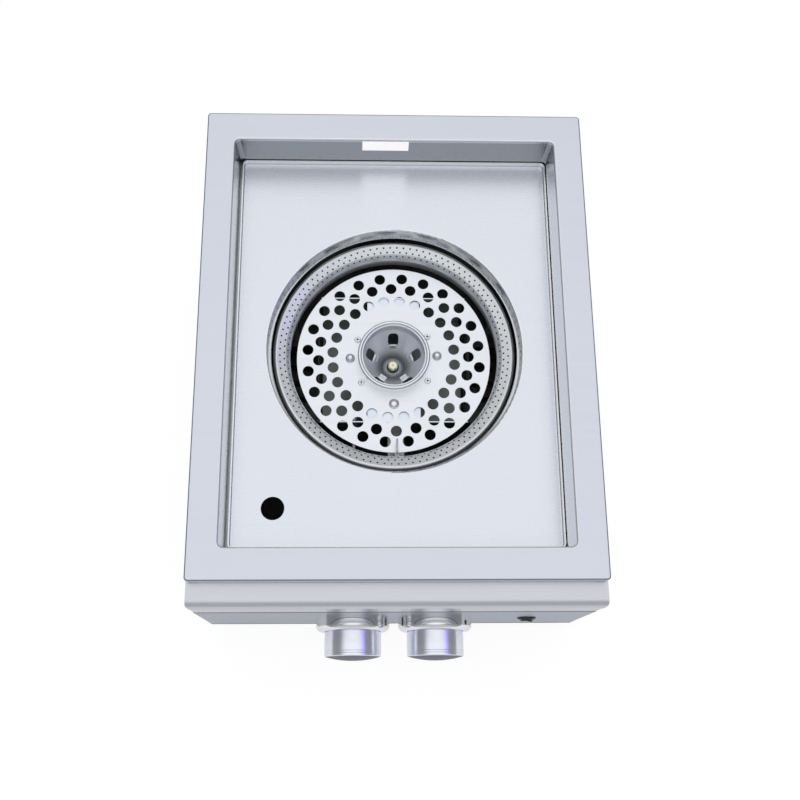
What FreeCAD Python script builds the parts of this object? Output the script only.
import FreeCAD, Part
import math
import os

from FreeCAD import Vector

# Built-in side burner: a deep drop-in well with a ported ring burner, a perforated plate and a
# louvred centre cup, over a sheet housing with a two-knob front panel. Millimetres.
# Every solid is drawn from the middle of the rim's top face, X to the right, Y to the back and
# Z up, and moved at the end so that the origin is under the middle of the whole object.

# Overall and rim
HEIGHT = 240.0
SHEET = 1.2
RIM_WIDTH = 450.0
RIM_DEPTH = 558.0
RIM_SIDE = 34.0
RIM_END = 35.5
RIM_DROP = 15.0
RIM_CORNER = 4.0
RETURN_LIP = 12.0
LIP_RELIEF = 1.0
RIM_EDGE_ROUND = 2.0
WELL_DEPTH = 54.0
WELL_LEAN = 2.4
WELL_CORNER = 6.0
WELL_TURN = 5.0
WELL_EDGE_ROUND = 2.4
REST_WIDTH = 10.0
REST_THICKNESS = 1.5

# Drip pan
PAN_GAP = 1.5
PAN_EDGE = 8.0
PAN_BEND = 2.4
PAN_SHIFT_X = 1.0
PAN_SHIFT_Y = 1.0
PAN_HOLE_GAP = 4.6
COLLAR_DEPTH = 15.0
COLLAR_TAPER = 3.2
COLLAR_BEND = 2.4
LIGHTER_HOLE_RADIUS = 13.25
LIGHTER_INSET_X = 52.5
LIGHTER_INSET_Y = 50.9

# Housing
HOUSING_SETBACK = 16.0
TOP_FLANGE = 10.0
FRONT_FLANGE = 15.0
BASE_FLANGE = 12.0
VENT_WIDTH = 8.0
VENT_LENGTH = 60.0
VENT_PITCH = 22.0
VENTS_PER_BANK = 6
VENT_BANK_OFFSET = 110.0
BACK_VENT_DROP = 120.0

# Front fascia and control panel
LEDGE_STEP = 1.2
NOSE_LIP = 1.8
NOSE_RADIUS = 9.5
NOSE_HEIGHT = 17.0
PANEL_REACH = 25.0
PANEL_TOP_DROP = 80.5
PANEL_SEAM = 1.0
PANEL_RETURN = 14.0
FASCIA_END_RADIUS = 5.0

# Ring burner
RING_OUTER_RADIUS = 145.2
RING_WIDTH = 20.1
RING_OUTER_ROUND = 5.4
RING_INNER_ROUND = 4.4
RING_TOP_DROP = 73.8
RING_FALL = 4.4
RING_ROUND = 6.2
RING_SKIRT_OUTER = 14.0
RING_SKIRT_INNER = 16.0
RING_WALL = 1.6
RING_BASE_DROP = 104.0
RING_BASE_GAP = 0.2
RING_LEG_RADIUS = 4.0

# Perforated plate
PLATE_DROP = 98.4
PLATE_THICKNESS = 1.5
PLATE_GAP = 7.5
PLATE_HOLE_RADIUS = 6.7
PLATE_HOLES_PER_RING = 24
PLATE_RINGS = ((12.6, 0.5), (26.2, 0.0), (43.1, 0.5))
PLATE_TURN = 1.6

# Centre cup
CUP_RISE = 16.4
CUP_BORE_RADIUS = 37.6
CUP_WALL = 1.4
CUP_FLOOR_FALL = 35.6
CUP_FLOOR_RADIUS = 12.6
CUP_FLANGE_REACH = 16.2
CUP_BEAD_WIDTH = 4.8
CUP_COLLAR_WALL = 1.5
CUP_CONE_FALL = 1.6
CUP_OUTLET_GAP = 1.3
LOUVRES = 5
LOUVRE_WIDTH = 13.0
LOUVRE_FALL = 5.6
LOUVRE_HEIGHT = 15.0
LOUVRE_CORNER = 4.0
LOUVRE_LIP = 4.5
SCREW_OFFSET = 6.2
SCREW_ANGLES = (34.0, 151.5, 218.0, 325.0)
SCREW_HEAD_RADIUS = 3.9
SCREW_HEAD_HEIGHT = 1.8
SCREW_SHANK_RADIUS = 2.0
HEAD_BEVEL = 0.45
RECESS_LENGTH = 4.4
RECESS_WIDTH = 0.9
RECESS_DEPTH = 0.9
NUT_GRIP = 2.0
POST_OFFSET = 9.2
POST_ANGLES = (180.0, 3.6)
POST_RADIUS = 3.0
POST_SHOULDER = 1.0
DOME_RADIUS = 6.0
STUD_OFFSET = 13.7
STUD_HEAD_RADIUS = 6.3
STUD_HEAD_HEIGHT = 3.0
WASHER_WIDTH = 4.3

# Burner box, rails and gas jets
BOX_DEPTH = 160.0
BOX_RING_GAP = 3.18
BOX_FLOOR_FALL = 18.0
BOX_TAB_WIDTH = 64.0
TAB_BORE_GAP = 3.0
BOX_WINDOW_WIDTH = 90.0
BOX_WINDOW_HEIGHT = 34.0
RAIL_OFFSET = 55.0
RAIL_WIDTH = 24.0
RAIL_HEIGHT = 12.0
RAIL_WALL = 1.5
JET_STAND = 10.0
JET_RADIUS = 6.2
JET_FOOT = 1.2
JET_FOOT_HEIGHT = 6.0
JET_BEVEL = 1.5
JET_HOLE_RADIUS = 0.8
JET_BLOCK_WIDTH = 16.0
JET_BLOCK_RISE = 6.0

# Knobs, bezels and valves
BEZEL_GAP = 10.5
KNOB_DROP = 160.0
KNOB_RADIUS = 33.25
KNOB_GAP = 5.0
KNOB_LENGTH = 39.3
KNOB_CROWN = 4.5
KNOB_WALL = 2.5
KNOB_BOSS_RADIUS = 8.0
KNOB_GROOVE = 0.5
BEZEL_WIDTH = 10.0
BEZEL_DEPTH = 16.0
BEZEL_BARREL = 10.5
BEZEL_WALL = 2.5
BEZEL_CLEARANCE = 1.6
LED_RING_DEPTH = 3.0
LED_RING_WIDTH = 4.8
STEM_RADIUS = 3.0
STEM_CLEARANCE = 0.05
STEM_FLAT = 1.0
STEM_END_GAP = 1.0
PLUG_RADIUS = 8.0
PLUG_LENGTH = 13.7
BLADE_WIDTH = 5.6
BLADE_THICKNESS = 1.9
BLADE_CLEARANCE = 0.1
VALVE_WIDTH = 26.0
VALVE_HEIGHT = 28.0
VALVE_FRONT_GAP = 17.0
VALVE_LENGTH = 38.0
VALVE_NECK_RADIUS = 9.0
VALVE_FLANGE_WIDTH = 36.0
VALVE_FLANGE_HEIGHT = 26.0
VALVE_SCREW_SPACING = 25.0
PUSH_TRAVEL = 4.0

# Gas supply
PIPE_RADIUS = 10.65
PIPE_BORE = 7.9
MANIFOLD_END = 46.5
MANIFOLD_CAP = 3.0
SUPPLY_INSET = 29.0
SUPPLY_RUN = 1.0
SUPPLY_BEND = 29.0
INLET_RADIUS = 10.48
INLET_LENGTH = 12.0
INLET_HEX = 27.0
INLET_HEX_LENGTH = 4.0
FEED_RADIUS = 4.0
FEED_BORE = 3.0
FEED_BEND = 18.0
VENTURI_RADIUS = 11.0
VENTURI_WALL = 1.6
VENTURI_BEND = 28.0
MOUTH_RADIUS = 15.0
MOUTH_LENGTH = 36.0
SHUTTER_LENGTH = 26.0
SHUTTER_WALL = 1.2
SHUTTER_CLEARANCE = 0.08
AIR_WINDOW_ANGLE = 70.0
AIR_WINDOW_LENGTH = 20.0
SPUD_HEX = 14.0
SPUD_NOSE_RADIUS = 4.0
JET_SPUD_HOLE = 1.2

# Ignition
ELECTRODE_X = 3.0
CERAMIC_RADIUS = 2.5
CERAMIC_RISE = 4.4
CERAMIC_LENGTH = 58.0
SPARK_WIRE_RADIUS = 1.0
SPARK_WIRE_BEND = 3.5
SPARK_RISE = 14.4
SPARK_REACH = 17.0
SPARK_HOOK = 6.0
ELECTRODE_ARM_FALL = 31.6
ELECTRODE_ARM_WIDTH = 20.0
LEAD_RADIUS = 1.6
PIEZO_WIDTH = 18.0
PIEZO_LENGTH = 44.0

# Light switch
SWITCH_INSET = 67.0
SWITCH_RADIUS = 11.2
SWITCH_FLANGE = 2.5
SWITCH_BODY_RADIUS = 9.9
SWITCH_BODY_DEPTH = 16.0
ROCKER_RADIUS = 8.9
ROCKER_GAP = 0.25
ROCKER_TILT = 8.0
ROCKER_REACH = 5.6
ROCKER_PIVOT_DEPTH = 1.0
ROCKER_PIN_RADIUS = 1.2

# Worked out from the sizes above
RIM_HALF_X = RIM_WIDTH / 2
RIM_HALF_Y = RIM_DEPTH / 2
WELL_HALF_X = RIM_HALF_X - RIM_SIDE
WELL_HALF_Y = RIM_HALF_Y - RIM_END
HOUSING_HALF_X = RIM_HALF_X - HOUSING_SETBACK
HOUSING_BACK = RIM_HALF_Y - HOUSING_SETBACK
PANEL_FACE = -RIM_HALF_Y - PANEL_REACH
PANEL_BACK = PANEL_FACE + SHEET
NOSE_FRONT = PANEL_FACE - NOSE_LIP
LEDGE_TOP = -RIM_DROP - LEDGE_STEP
FLOOR = -HEIGHT
BASE_TOP = FLOOR + SHEET
KNOB_END = PANEL_FACE - KNOB_GAP - KNOB_LENGTH
FRONT_REACH = KNOB_END - KNOB_CROWN
KNOB_Z = -KNOB_DROP
RING_INNER_RADIUS = RING_OUTER_RADIUS - RING_WIDTH
RING_RIDGE_RADIUS = RING_OUTER_RADIUS - RING_OUTER_ROUND
RING_SHOULDER_RADIUS = RING_INNER_RADIUS + RING_INNER_ROUND
PAN_HOLE_RADIUS = RING_OUTER_RADIUS + PAN_HOLE_GAP
LIGHTER_HOLE_X = LIGHTER_INSET_X - WELL_HALF_X
LIGHTER_HOLE_Y = LIGHTER_INSET_Y - WELL_HALF_Y
PLATE_RADIUS = RING_INNER_RADIUS - PLATE_GAP
PLATE_TOP = -PLATE_DROP
PLATE_BOTTOM = PLATE_TOP - PLATE_THICKNESS
CUP_FLANGE_BOTTOM = PLATE_BOTTOM - CUP_WALL
CUP_TOP_DROP = PLATE_DROP - CUP_RISE
CUP_CONE_TOP = PLATE_DROP + CUP_CONE_FALL
CUP_FLOOR_DROP = PLATE_DROP + CUP_FLOOR_FALL
CUP_OUTLET_RADIUS = JET_RADIUS + CUP_OUTLET_GAP
COLLAR_OUTER_RADIUS = CUP_BORE_RADIUS + CUP_WALL + CUP_BEAD_WIDTH
CUP_FLANGE_RADIUS = COLLAR_OUTER_RADIUS + CUP_FLANGE_REACH
SCREW_CIRCLE_RADIUS = COLLAR_OUTER_RADIUS + SCREW_OFFSET
POST_CIRCLE_RADIUS = COLLAR_OUTER_RADIUS + POST_OFFSET
STUD_CIRCLE_RADIUS = COLLAR_OUTER_RADIUS + STUD_OFFSET
WASHER_RADIUS = CUP_OUTLET_RADIUS + WASHER_WIDTH
LOUVRE_TOP_DROP = PLATE_DROP + LOUVRE_FALL
LOUVRE_BOTTOM_DROP = LOUVRE_TOP_DROP + LOUVRE_HEIGHT
BOX_WIDTH = 2 * math.sqrt((RING_INNER_RADIUS - BOX_RING_GAP) ** 2 - (BOX_DEPTH / 2) ** 2)
BOX_TAB_BORE = CUP_BORE_RADIUS + CUP_WALL + TAB_BORE_GAP
BOX_FLOOR = KNOB_Z - BOX_FLOOR_FALL
BOX_FLOOR_TOP = BOX_FLOOR + SHEET
RAIL_BOTTOM = BOX_FLOOR - RAIL_HEIGHT
RING_BASE = -RING_BASE_DROP
RING_TOP = -RING_TOP_DROP
VALVE_FRONT = PANEL_BACK + VALVE_FRONT_GAP
VALVE_BACK = VALVE_FRONT + VALVE_LENGTH
MANIFOLD_Z = (RAIL_BOTTOM + BASE_TOP) / 2
MANIFOLD_Y = (VALVE_FRONT + VALVE_BACK) / 2
BEZEL_RADIUS = KNOB_RADIUS + BEZEL_WIDTH
KNOB_X = BEZEL_RADIUS + BEZEL_GAP / 2
KNOB_PLACES = {"left": -KNOB_X, "right": KNOB_X}
SUPPLY_X = HOUSING_HALF_X - SUPPLY_INSET
MANIFOLD_LEFT = -KNOB_X - MANIFOLD_END
MANIFOLD_RIGHT = SUPPLY_X - SUPPLY_BEND - SUPPLY_RUN
SWITCH_X = RIM_HALF_X - SWITCH_INSET
PAN_REST_TOP = -WELL_DEPTH - SHEET
ELECTRODE_Y = -(PLATE_RADIUS + RING_INNER_RADIUS) / 2
JET_TIP_DROP = CUP_FLOOR_DROP - JET_STAND
JET_BLOCK_TOP = KNOB_Z + JET_BLOCK_RISE
CERAMIC_TOP_DROP = PLATE_DROP - CERAMIC_RISE
SPARK_TOP_DROP = PLATE_DROP - SPARK_RISE
ELECTRODE_ARM_DROP = PLATE_DROP + ELECTRODE_ARM_FALL
SPUD_LENGTH = 6.0
SPUD_NOSE_LENGTH = 8.0
MOUTH_FRONT = VALVE_BACK + SPUD_LENGTH + 1.0
MOUTH_BACK = MOUTH_FRONT + MOUTH_LENGTH
VENTURI_X = KNOB_PLACES["right"]
RING_MIDDLE_RADIUS = (RING_OUTER_RADIUS + RING_INNER_RADIUS) / 2
VENTURI_Y = -math.sqrt(RING_MIDDLE_RADIUS ** 2 - VENTURI_X ** 2)

X_AXIS = Vector(1, 0, 0)
Y_AXIS = Vector(0, 1, 0)
Z_AXIS = Vector(0, 0, 1)
ORIGIN = Vector(0, 0, 0)
REACH = 1.0
TO_BASE = Vector(0, (-FRONT_REACH - RIM_HALF_Y) / 2, HEIGHT)


def block(x0, x1, y0, y1, z0, z1):
    """A box between two corners."""
    return Part.makeBox(x1 - x0, y1 - y0, z1 - z0, Vector(x0, y0, z0))


def rod(radius, start, end):
    """A cylinder from one point to another."""
    along = end - start
    return Part.makeCylinder(radius, along.Length, start, along)


def pipe(outer, inner, start, end):
    """A straight tube from one point to another."""
    return rod(outer, start, end).cut(rod(inner, start, end))


def polar(radius, degrees, z):
    """A point on a circle about the burner's axis."""
    angle = math.radians(degrees)
    return Vector(radius * math.cos(angle), radius * math.sin(angle), z)


def join(shapes):
    """One solid from touching or crossing solids."""
    return shapes[0].multiFuse(shapes[1:]).removeSplitter()


def rounded_wire(half_x, half_y, radius, z):
    """A rectangle about the Z axis with round corners."""
    corners = ((1, 1, 0), (-1, 1, 90), (-1, -1, 180), (1, -1, 270))
    edges = []
    ends = []
    for side_x, side_y, turn in corners:
        centre = Vector(side_x * (half_x - radius), side_y * (half_y - radius), z)
        spots = []
        for step in (0, 45, 90):
            angle = math.radians(turn + step)
            spots.append(centre + Vector(math.cos(angle), math.sin(angle), 0) * radius)
        edges.append(Part.Arc(*spots).toShape())
        ends.append((spots[0], spots[2]))
    for index, (first, last) in enumerate(ends):
        following = ends[(index + 1) % len(ends)][0]
        edges.append(Part.LineSegment(last, following).toShape())
    return Part.Wire(Part.__sortEdges__(edges))


def slab(half_x, half_y, radius, z0, z1):
    """A plate with round corners between two heights."""
    face = Part.Face(rounded_wire(half_x, half_y, radius, z0))
    return face.extrude(Vector(0, 0, z1 - z0))


def level_edges(shape, z):
    """A shape's edges that lie wholly at one height."""
    return [edge for edge in shape.Edges
            if abs(edge.BoundBox.ZMin - z) < 0.01 and abs(edge.BoundBox.ZMax - z) < 0.01]


def outline(spots, to_point):
    """A closed wire. A spot is (a, b) for a line to it, or (a, b, via_a, via_b) for an arc."""
    edges = []
    here = to_point(spots[0][0], spots[0][1])
    for spot in list(spots[1:]) + [spots[0][:2]]:
        there = to_point(spot[0], spot[1])
        if len(spot) == 4:
            edges.append(Part.Arc(here, to_point(spot[2], spot[3]), there).toShape())
        else:
            edges.append(Part.LineSegment(here, there).toShape())
        here = there
    return Part.Wire(edges)


def spin_z(spots):
    """A solid of revolution about the burner's vertical axis, from (radius, z) spots."""
    wire = outline(spots, lambda radius, z: Vector(radius, 0, z))
    return Part.Face(wire).revolve(ORIGIN, Z_AXIS, 360)


def spin_y(spots, x, z):
    """A solid of revolution about a front-to-back axis, from (radius, y) spots."""
    wire = outline(spots, lambda radius, y: Vector(x + radius, y, z))
    return Part.Face(wire).revolve(Vector(x, 0, z), Y_AXIS, 360)


def extrude_x(spots, half_width):
    """A side profile of (y, z) spots drawn out across the width."""
    wire = outline(spots, lambda y, z: Vector(-half_width, y, z))
    return Part.Face(wire).extrude(Vector(2 * half_width, 0, 0))


def rounded_path(points, bend=None):
    """Straight runs with tangent arcs: one bend radius, or each as large as its runs allow."""
    edges = []
    start = points[0]
    for before, corner, after in zip(points, points[1:], points[2:]):
        run_in = corner - before
        run_out = after - corner
        way_in = run_in * (1 / run_in.Length)
        way_out = run_out * (1 / run_out.Length)
        half_turn = way_in.getAngle(way_out) / 2
        radius = bend or 0.45 * min(run_in.Length, run_out.Length) / math.tan(half_turn)
        print("bend radius %.1f" % radius)
        cut_back = radius * math.tan(half_turn)
        arc_start = corner - way_in * cut_back
        arc_end = corner + way_out * cut_back
        inward = way_out - way_in
        inward = inward * (1 / inward.Length)
        middle = corner + inward * (radius / math.cos(half_turn) - radius)
        edges.append(Part.LineSegment(start, arc_start).toShape())
        edges.append(Part.Arc(arc_start, middle, arc_end).toShape())
        start = arc_end
    edges.append(Part.LineSegment(start, points[-1]).toShape())
    return Part.Wire(edges)


def tube(points, radius, bend=None):
    """A round bar or hose along a path of straight runs and arcs."""
    path = rounded_path(points, bend)
    circle = Part.Wire(Part.makeCircle(radius, points[0], points[1] - points[0]))
    return path.makePipeShell([circle], True, False)


def hollow_tube(points, outer, inner, bend):
    """A bent pipe with an open bore."""
    return tube(points, outer, bend).cut(tube(points, inner, bend))


def hexagon(across_flats, start, end):
    """A hexagonal bar along Y."""
    corner_radius = across_flats / math.sqrt(3)
    points = []
    for index in range(7):
        angle = math.radians(60 * index)
        offset = Vector(math.cos(angle) * corner_radius, 0, math.sin(angle) * corner_radius)
        points.append(start + offset)
    return Part.Face(Part.makePolygon(points)).extrude(end - start)


def vent_bank():
    """Cutters for one bank of round-ended slots, about the origin, through a level sheet."""
    slots = []
    for index in range(VENTS_PER_BANK):
        y = (index - (VENTS_PER_BANK - 1) / 2) * VENT_PITCH
        slot = slab(VENT_LENGTH / 2, VENT_WIDTH / 2, VENT_WIDTH / 2 - 0.01, -2 * SHEET, 2 * SHEET)
        slot.translate(Vector(0, y, 0))
        slots.append(slot)
    return Part.makeCompound(slots)


# Rim, well and drip pan

def make_top_frame():
    """The folded rim: rounded edges, a skirt with return lips, and the bend into the well."""
    outer = slab(RIM_HALF_X, RIM_HALF_Y, RIM_CORNER, -RIM_DROP, 0)
    opening = slab(WELL_HALF_X, WELL_HALF_Y, WELL_CORNER, -RIM_DROP - REACH, REACH)
    outer = outer.makeFillet(RIM_EDGE_ROUND, level_edges(outer, 0))
    rim = outer.cut(opening)
    inner_loop = [edge for edge in level_edges(rim, 0)
                  if abs(edge.CenterOfMass.x) <= WELL_HALF_X and abs(edge.CenterOfMass.y) <= WELL_HALF_Y]
    rim = rim.makeFillet(WELL_EDGE_ROUND, inner_loop)
    channel = slab(RIM_HALF_X - SHEET, RIM_HALF_Y - SHEET, RIM_CORNER - SHEET,
                   -RIM_DROP + SHEET, -SHEET)
    turned = slab(WELL_HALF_X + SHEET, WELL_HALF_Y + SHEET, WELL_CORNER + SHEET,
                  -RIM_DROP, 0)
    lip_x = RIM_HALF_X - RETURN_LIP
    lip_y = RIM_HALF_Y - RETURN_LIP
    underside = block(-lip_x, lip_x, -lip_y, lip_y, -RIM_DROP - REACH, -WELL_TURN)
    rim = rim.cut(channel.cut(turned)).cut(underside)
    relief = block(lip_x - LIP_RELIEF, RIM_HALF_X + REACH, lip_y - LIP_RELIEF, RIM_HALF_Y + REACH,
                   -RIM_DROP - REACH, -RIM_DROP + SHEET)
    reliefs = [relief, relief.mirror(ORIGIN, X_AXIS), relief.mirror(ORIGIN, Y_AXIS)]
    reliefs.append(reliefs[1].mirror(ORIGIN, Y_AXIS))
    return rim.cut(Part.makeCompound(reliefs)).removeSplitter()


def well_inset(z):
    """How far the well's walls have leant in at a height."""
    return WELL_LEAN * (-WELL_TURN - z) / (WELL_DEPTH - WELL_TURN)


def make_well_walls():
    """The four flat leaning walls under the rim's bend and the round corners welded between them."""
    inset = well_inset(PAN_REST_TOP)
    forms = []
    for wall in (SHEET, 0):
        half_x = WELL_HALF_X + wall
        half_y = WELL_HALF_Y + wall
        corner = WELL_CORNER + wall
        forms.append(Part.makeLoft([
            rounded_wire(half_x, half_y, corner, -WELL_TURN),
            rounded_wire(half_x - inset, half_y - inset, corner, PAN_REST_TOP)], True, True))
    band = forms[0].cut(forms[1])
    flat_x = WELL_HALF_X - inset - WELL_CORNER
    flat_y = WELL_HALF_Y - inset - WELL_CORNER
    far_x = WELL_HALF_X + 2 * SHEET
    far_y = WELL_HALF_Y + 2 * SHEET
    right = band.common(block(flat_x, far_x, -flat_y, flat_y, PAN_REST_TOP, 0))
    back = band.common(block(-flat_x, flat_x, flat_y, far_y, PAN_REST_TOP, 0))
    corner = band.common(block(flat_x, far_x, flat_y, far_y, PAN_REST_TOP, 0))
    other_corner = corner.mirror(ORIGIN, X_AXIS)
    return Part.makeCompound([
        back, right, back.mirror(ORIGIN, Y_AXIS), right.mirror(ORIGIN, X_AXIS),
        corner, other_corner, corner.mirror(ORIGIN, Y_AXIS), other_corner.mirror(ORIGIN, Y_AXIS)])


def make_pan_rests():
    """Four strips under the walls' lower edges that carry the pan."""
    outer_x = WELL_HALF_X - well_inset(PAN_REST_TOP) + SHEET
    outer_y = WELL_HALF_Y - well_inset(PAN_REST_TOP) + SHEET
    inner_x = outer_x - SHEET - REST_WIDTH
    inner_y = outer_y - SHEET - REST_WIDTH
    low = PAN_REST_TOP - REST_THICKNESS
    back = block(-outer_x, outer_x, inner_y, outer_y, low, PAN_REST_TOP)
    right = block(inner_x, outer_x, -inner_y, inner_y, low, PAN_REST_TOP)
    return Part.makeCompound([back, right, back.mirror(ORIGIN, Y_AXIS), right.mirror(ORIGIN, X_AXIS)])


def make_drip_pan():
    """The loose pan: upturned edges and the burner's opening with its turned-down collar."""
    half_x = WELL_HALF_X - WELL_LEAN - PAN_GAP
    half_y = WELL_HALF_Y - WELL_LEAN - PAN_GAP
    floor = -WELL_DEPTH
    tray = slab(half_x, half_y, WELL_CORNER, floor - SHEET, floor + PAN_EDGE)
    tray = tray.makeFillet(PAN_BEND, level_edges(tray, floor - SHEET))
    inside = slab(half_x - SHEET, half_y - SHEET, WELL_CORNER - SHEET, floor,
                  floor + PAN_EDGE + REACH)
    inside = inside.makeFillet(PAN_BEND - SHEET, level_edges(inside, floor))
    tray = tray.cut(inside)
    tray.translate(Vector(PAN_SHIFT_X, PAN_SHIFT_Y, 0))
    outer = PAN_HOLE_RADIUS + COLLAR_BEND
    opening = rod(outer, Vector(0, 0, floor - COLLAR_DEPTH), Vector(0, 0, floor + REACH))
    low = floor - COLLAR_DEPTH
    bend_middle = COLLAR_BEND * (1 - math.sqrt(0.5))
    inner_bend = COLLAR_BEND - SHEET
    collar = spin_z([
        (outer, floor),
        (PAN_HOLE_RADIUS, floor - COLLAR_BEND,
         PAN_HOLE_RADIUS + bend_middle, floor - bend_middle),
        (PAN_HOLE_RADIUS - COLLAR_TAPER, low),
        (PAN_HOLE_RADIUS - COLLAR_TAPER + SHEET, low),
        (PAN_HOLE_RADIUS + SHEET, floor - COLLAR_BEND),
        (outer, floor - SHEET,
         outer - inner_bend * math.sqrt(0.5), floor - COLLAR_BEND + inner_bend * math.sqrt(0.5)),
    ])
    lighter_hole = rod(LIGHTER_HOLE_RADIUS, Vector(LIGHTER_HOLE_X, LIGHTER_HOLE_Y, low),
                       Vector(LIGHTER_HOLE_X, LIGHTER_HOLE_Y, floor + REACH))
    return tray.cut(opening).fuse(collar).cut(lighter_hole).removeSplitter()


# Housing

def make_side_panel(side):
    """A side of the housing, notched under the ledge, with top and front flanges."""
    outer = HOUSING_HALF_X
    inner = outer - SHEET
    notch_back = -RIM_HALF_Y + RETURN_LIP + FRONT_FLANGE
    under_nose = LEDGE_TOP - NOSE_RADIUS
    wall = block(inner, outer, PANEL_BACK, HOUSING_BACK, BASE_TOP, -SHEET)
    notch = block(inner - REACH, outer + REACH, PANEL_BACK - REACH, notch_back,
                  LEDGE_TOP - SHEET, 0)
    nose_notch = block(inner - REACH, outer + REACH, PANEL_BACK - REACH,
                       NOSE_FRONT + NOSE_RADIUS, under_nose, 0)
    top = block(outer - TOP_FLANGE, outer, notch_back, HOUSING_BACK - SHEET, -2 * SHEET, -SHEET)
    front = block(outer - FRONT_FLANGE, outer, PANEL_BACK, PANEL_BACK + SHEET,
                  BASE_TOP, under_nose)
    panel = join([wall.cut(notch).cut(nose_notch), top, front])
    if side < 0:
        panel = panel.mirror(ORIGIN, X_AXIS)
    return panel


def make_back_panel():
    """The housing's back, with a top flange, vent slots and the gas pipe's hole."""
    inner_x = HOUSING_HALF_X - SHEET
    wall = block(-inner_x, inner_x, HOUSING_BACK - SHEET, HOUSING_BACK, BASE_TOP, -SHEET)
    top = block(-inner_x + TOP_FLANGE, inner_x - TOP_FLANGE, HOUSING_BACK - TOP_FLANGE,
                HOUSING_BACK, -2 * SHEET, -SHEET)
    pipe_hole = rod(PIPE_RADIUS, Vector(SUPPLY_X, HOUSING_BACK - 2 * SHEET, MANIFOLD_Z),
                    Vector(SUPPLY_X, HOUSING_BACK + REACH, MANIFOLD_Z))
    panel = join([wall, top]).cut(pipe_hole)
    for side in (-1, 1):
        bank = vent_bank()
        bank.rotate(ORIGIN, Z_AXIS, 90)
        bank.rotate(ORIGIN, X_AXIS, 90)
        bank.translate(Vector(side * VENT_BANK_OFFSET, HOUSING_BACK, -BACK_VENT_DROP))
        panel = panel.cut(bank)
    return panel


def make_base_panel():
    """The tray that closes the housing and rests on the shelf, with two banks of vent slots."""
    inner_x = HOUSING_HALF_X - SHEET
    back = HOUSING_BACK - SHEET
    front = PANEL_BACK + 2 * SHEET
    floor = block(-HOUSING_HALF_X, HOUSING_HALF_X, PANEL_FACE, HOUSING_BACK, FLOOR, BASE_TOP)
    flanges = [block(-inner_x, -inner_x + SHEET, front, back, BASE_TOP, BASE_TOP + BASE_FLANGE),
               block(inner_x - SHEET, inner_x, front, back, BASE_TOP, BASE_TOP + BASE_FLANGE),
               block(-inner_x, inner_x, back - SHEET, back, BASE_TOP, BASE_TOP + BASE_FLANGE)]
    tray = join([floor] + flanges)
    for side in (-1, 1):
        bank = vent_bank()
        bank.translate(Vector(side * VENT_BANK_OFFSET, 0, FLOOR))
        tray = tray.cut(bank)
    return tray


# Front

def make_front_fascia():
    """The bull-nosed ledge under the rim, folded down into an apron that meets the panel."""
    tuck_back = -RIM_HALF_Y + RETURN_LIP
    step = tuck_back - FRONT_FLANGE / 3
    flat_end = NOSE_FRONT + NOSE_RADIUS
    nose_low = LEDGE_TOP - NOSE_HEIGHT
    low_round = PANEL_FACE - NOSE_FRONT
    apron_low = -PANEL_TOP_DROP + PANEL_SEAM
    diagonal = math.sqrt(0.5)
    inner_radius = NOSE_RADIUS - SHEET
    profile = [
        (tuck_back, -RIM_DROP),
        (step, -RIM_DROP),
        (step - LEDGE_STEP, LEDGE_TOP),
        (flat_end, LEDGE_TOP),
        (NOSE_FRONT, LEDGE_TOP - NOSE_RADIUS,
         flat_end - NOSE_RADIUS * diagonal, LEDGE_TOP - NOSE_RADIUS * (1 - diagonal)),
        (NOSE_FRONT, nose_low + low_round),
        (PANEL_FACE, nose_low,
         PANEL_FACE - low_round * diagonal, nose_low + low_round * (1 - diagonal)),
        (PANEL_FACE, apron_low),
        (PANEL_BACK, apron_low),
        (PANEL_BACK, nose_low + low_round),
        (NOSE_FRONT + SHEET, nose_low + low_round + SHEET),
        (NOSE_FRONT + SHEET, LEDGE_TOP - NOSE_RADIUS),
        (flat_end, LEDGE_TOP - SHEET,
         flat_end - inner_radius * diagonal, LEDGE_TOP - SHEET - inner_radius * (1 - diagonal)),
        (step - LEDGE_STEP, LEDGE_TOP - SHEET),
        (step, -RIM_DROP - SHEET),
        (tuck_back, -RIM_DROP - SHEET),
    ]
    sheet = extrude_x(profile, RIM_HALF_X)
    cap_profile = [
        (-RIM_HALF_Y, LEDGE_TOP),
        (flat_end, LEDGE_TOP),
        (NOSE_FRONT, LEDGE_TOP - NOSE_RADIUS,
         flat_end - NOSE_RADIUS * diagonal, LEDGE_TOP - NOSE_RADIUS * (1 - diagonal)),
        (NOSE_FRONT, nose_low + low_round),
        (PANEL_FACE, nose_low,
         PANEL_FACE - low_round * diagonal, nose_low + low_round * (1 - diagonal)),
        (PANEL_FACE, apron_low),
        (PANEL_FACE + PANEL_RETURN, apron_low),
        (PANEL_FACE + PANEL_RETURN, nose_low),
        (-RIM_HALF_Y, nose_low),
    ]
    caps = []
    for side in (-1, 1):
        wire = outline(cap_profile, lambda y, z: Vector(side * RIM_HALF_X, y, z))
        caps.append(Part.Face(wire).extrude(Vector(-side * SHEET, 0, 0)))
    return_x = HOUSING_HALF_X - FRONT_FLANGE - PANEL_SEAM
    stiffener = block(-return_x, return_x, PANEL_FACE, PANEL_FACE + PANEL_RETURN,
                      apron_low, apron_low + SHEET)
    fascia = join([sheet, stiffener] + caps)
    corner_cut = slab(RIM_HALF_X, -NOSE_FRONT, FASCIA_END_RADIUS, -PANEL_TOP_DROP, 0)
    return fascia.common(corner_cut)


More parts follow.
